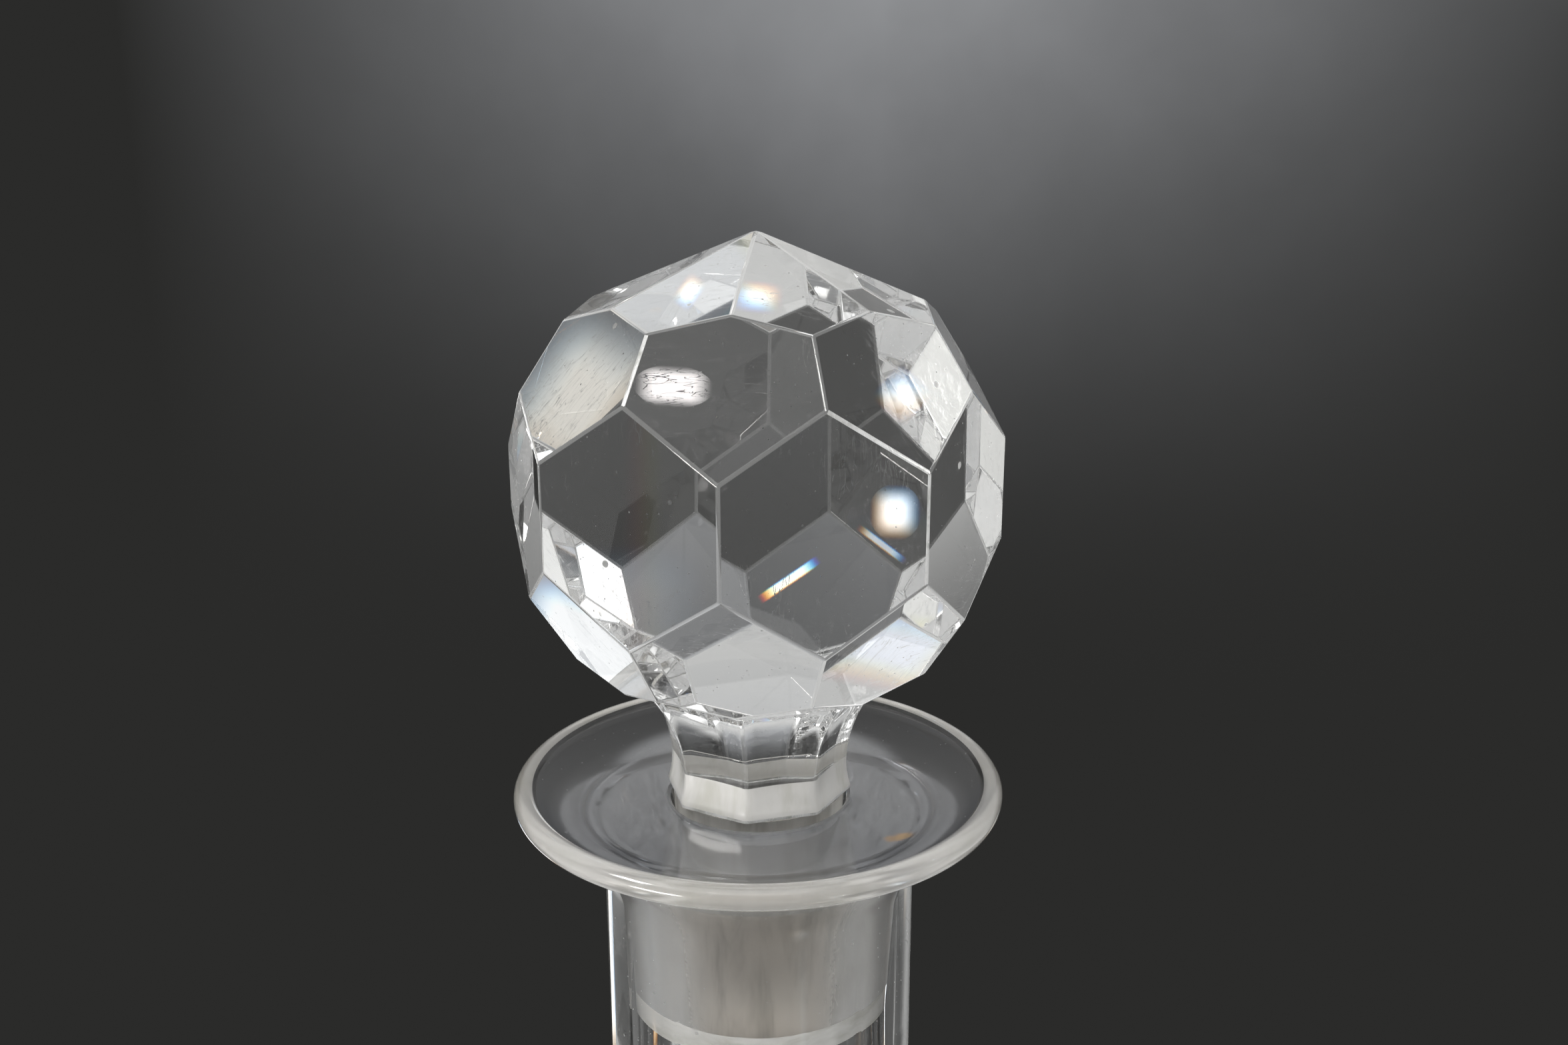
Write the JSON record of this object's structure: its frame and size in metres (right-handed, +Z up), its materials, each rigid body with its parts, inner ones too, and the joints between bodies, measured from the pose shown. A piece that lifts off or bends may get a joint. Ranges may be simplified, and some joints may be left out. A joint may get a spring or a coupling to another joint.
{
  "type": "cut crystal decanter",
  "caption": "Hollow cut crystal decanter with a flared lip, fluted shoulder and diamond band, closed by a faceted ball stopper whose ground peg lifts out of the neck.",
  "frame": {"origin": "middle of the foot ring, on the surface the decanter stands on", "axes": "+Z up along the bottle's own axis, through the stopper's point; the decanter is round, so -Y is only the side that faces the picture's camera"},
  "size_m": [0.1118, 0.1118, 0.2714],
  "materials": {
    "bottle_crystal": "polished",
    "stopper_crystal": "polished"
  },
  "bodies": {
    "bottle": {"bottle": "bottle_crystal"},
    "stopper": {"stopper": "stopper_crystal"}
  },
  "joints": [
    {"name": "stopper_lift", "type": "slide", "parent": "bottle", "child": "stopper", "axis": [0, 0, 1], "range_m": [0, 0.05]}
  ]
}
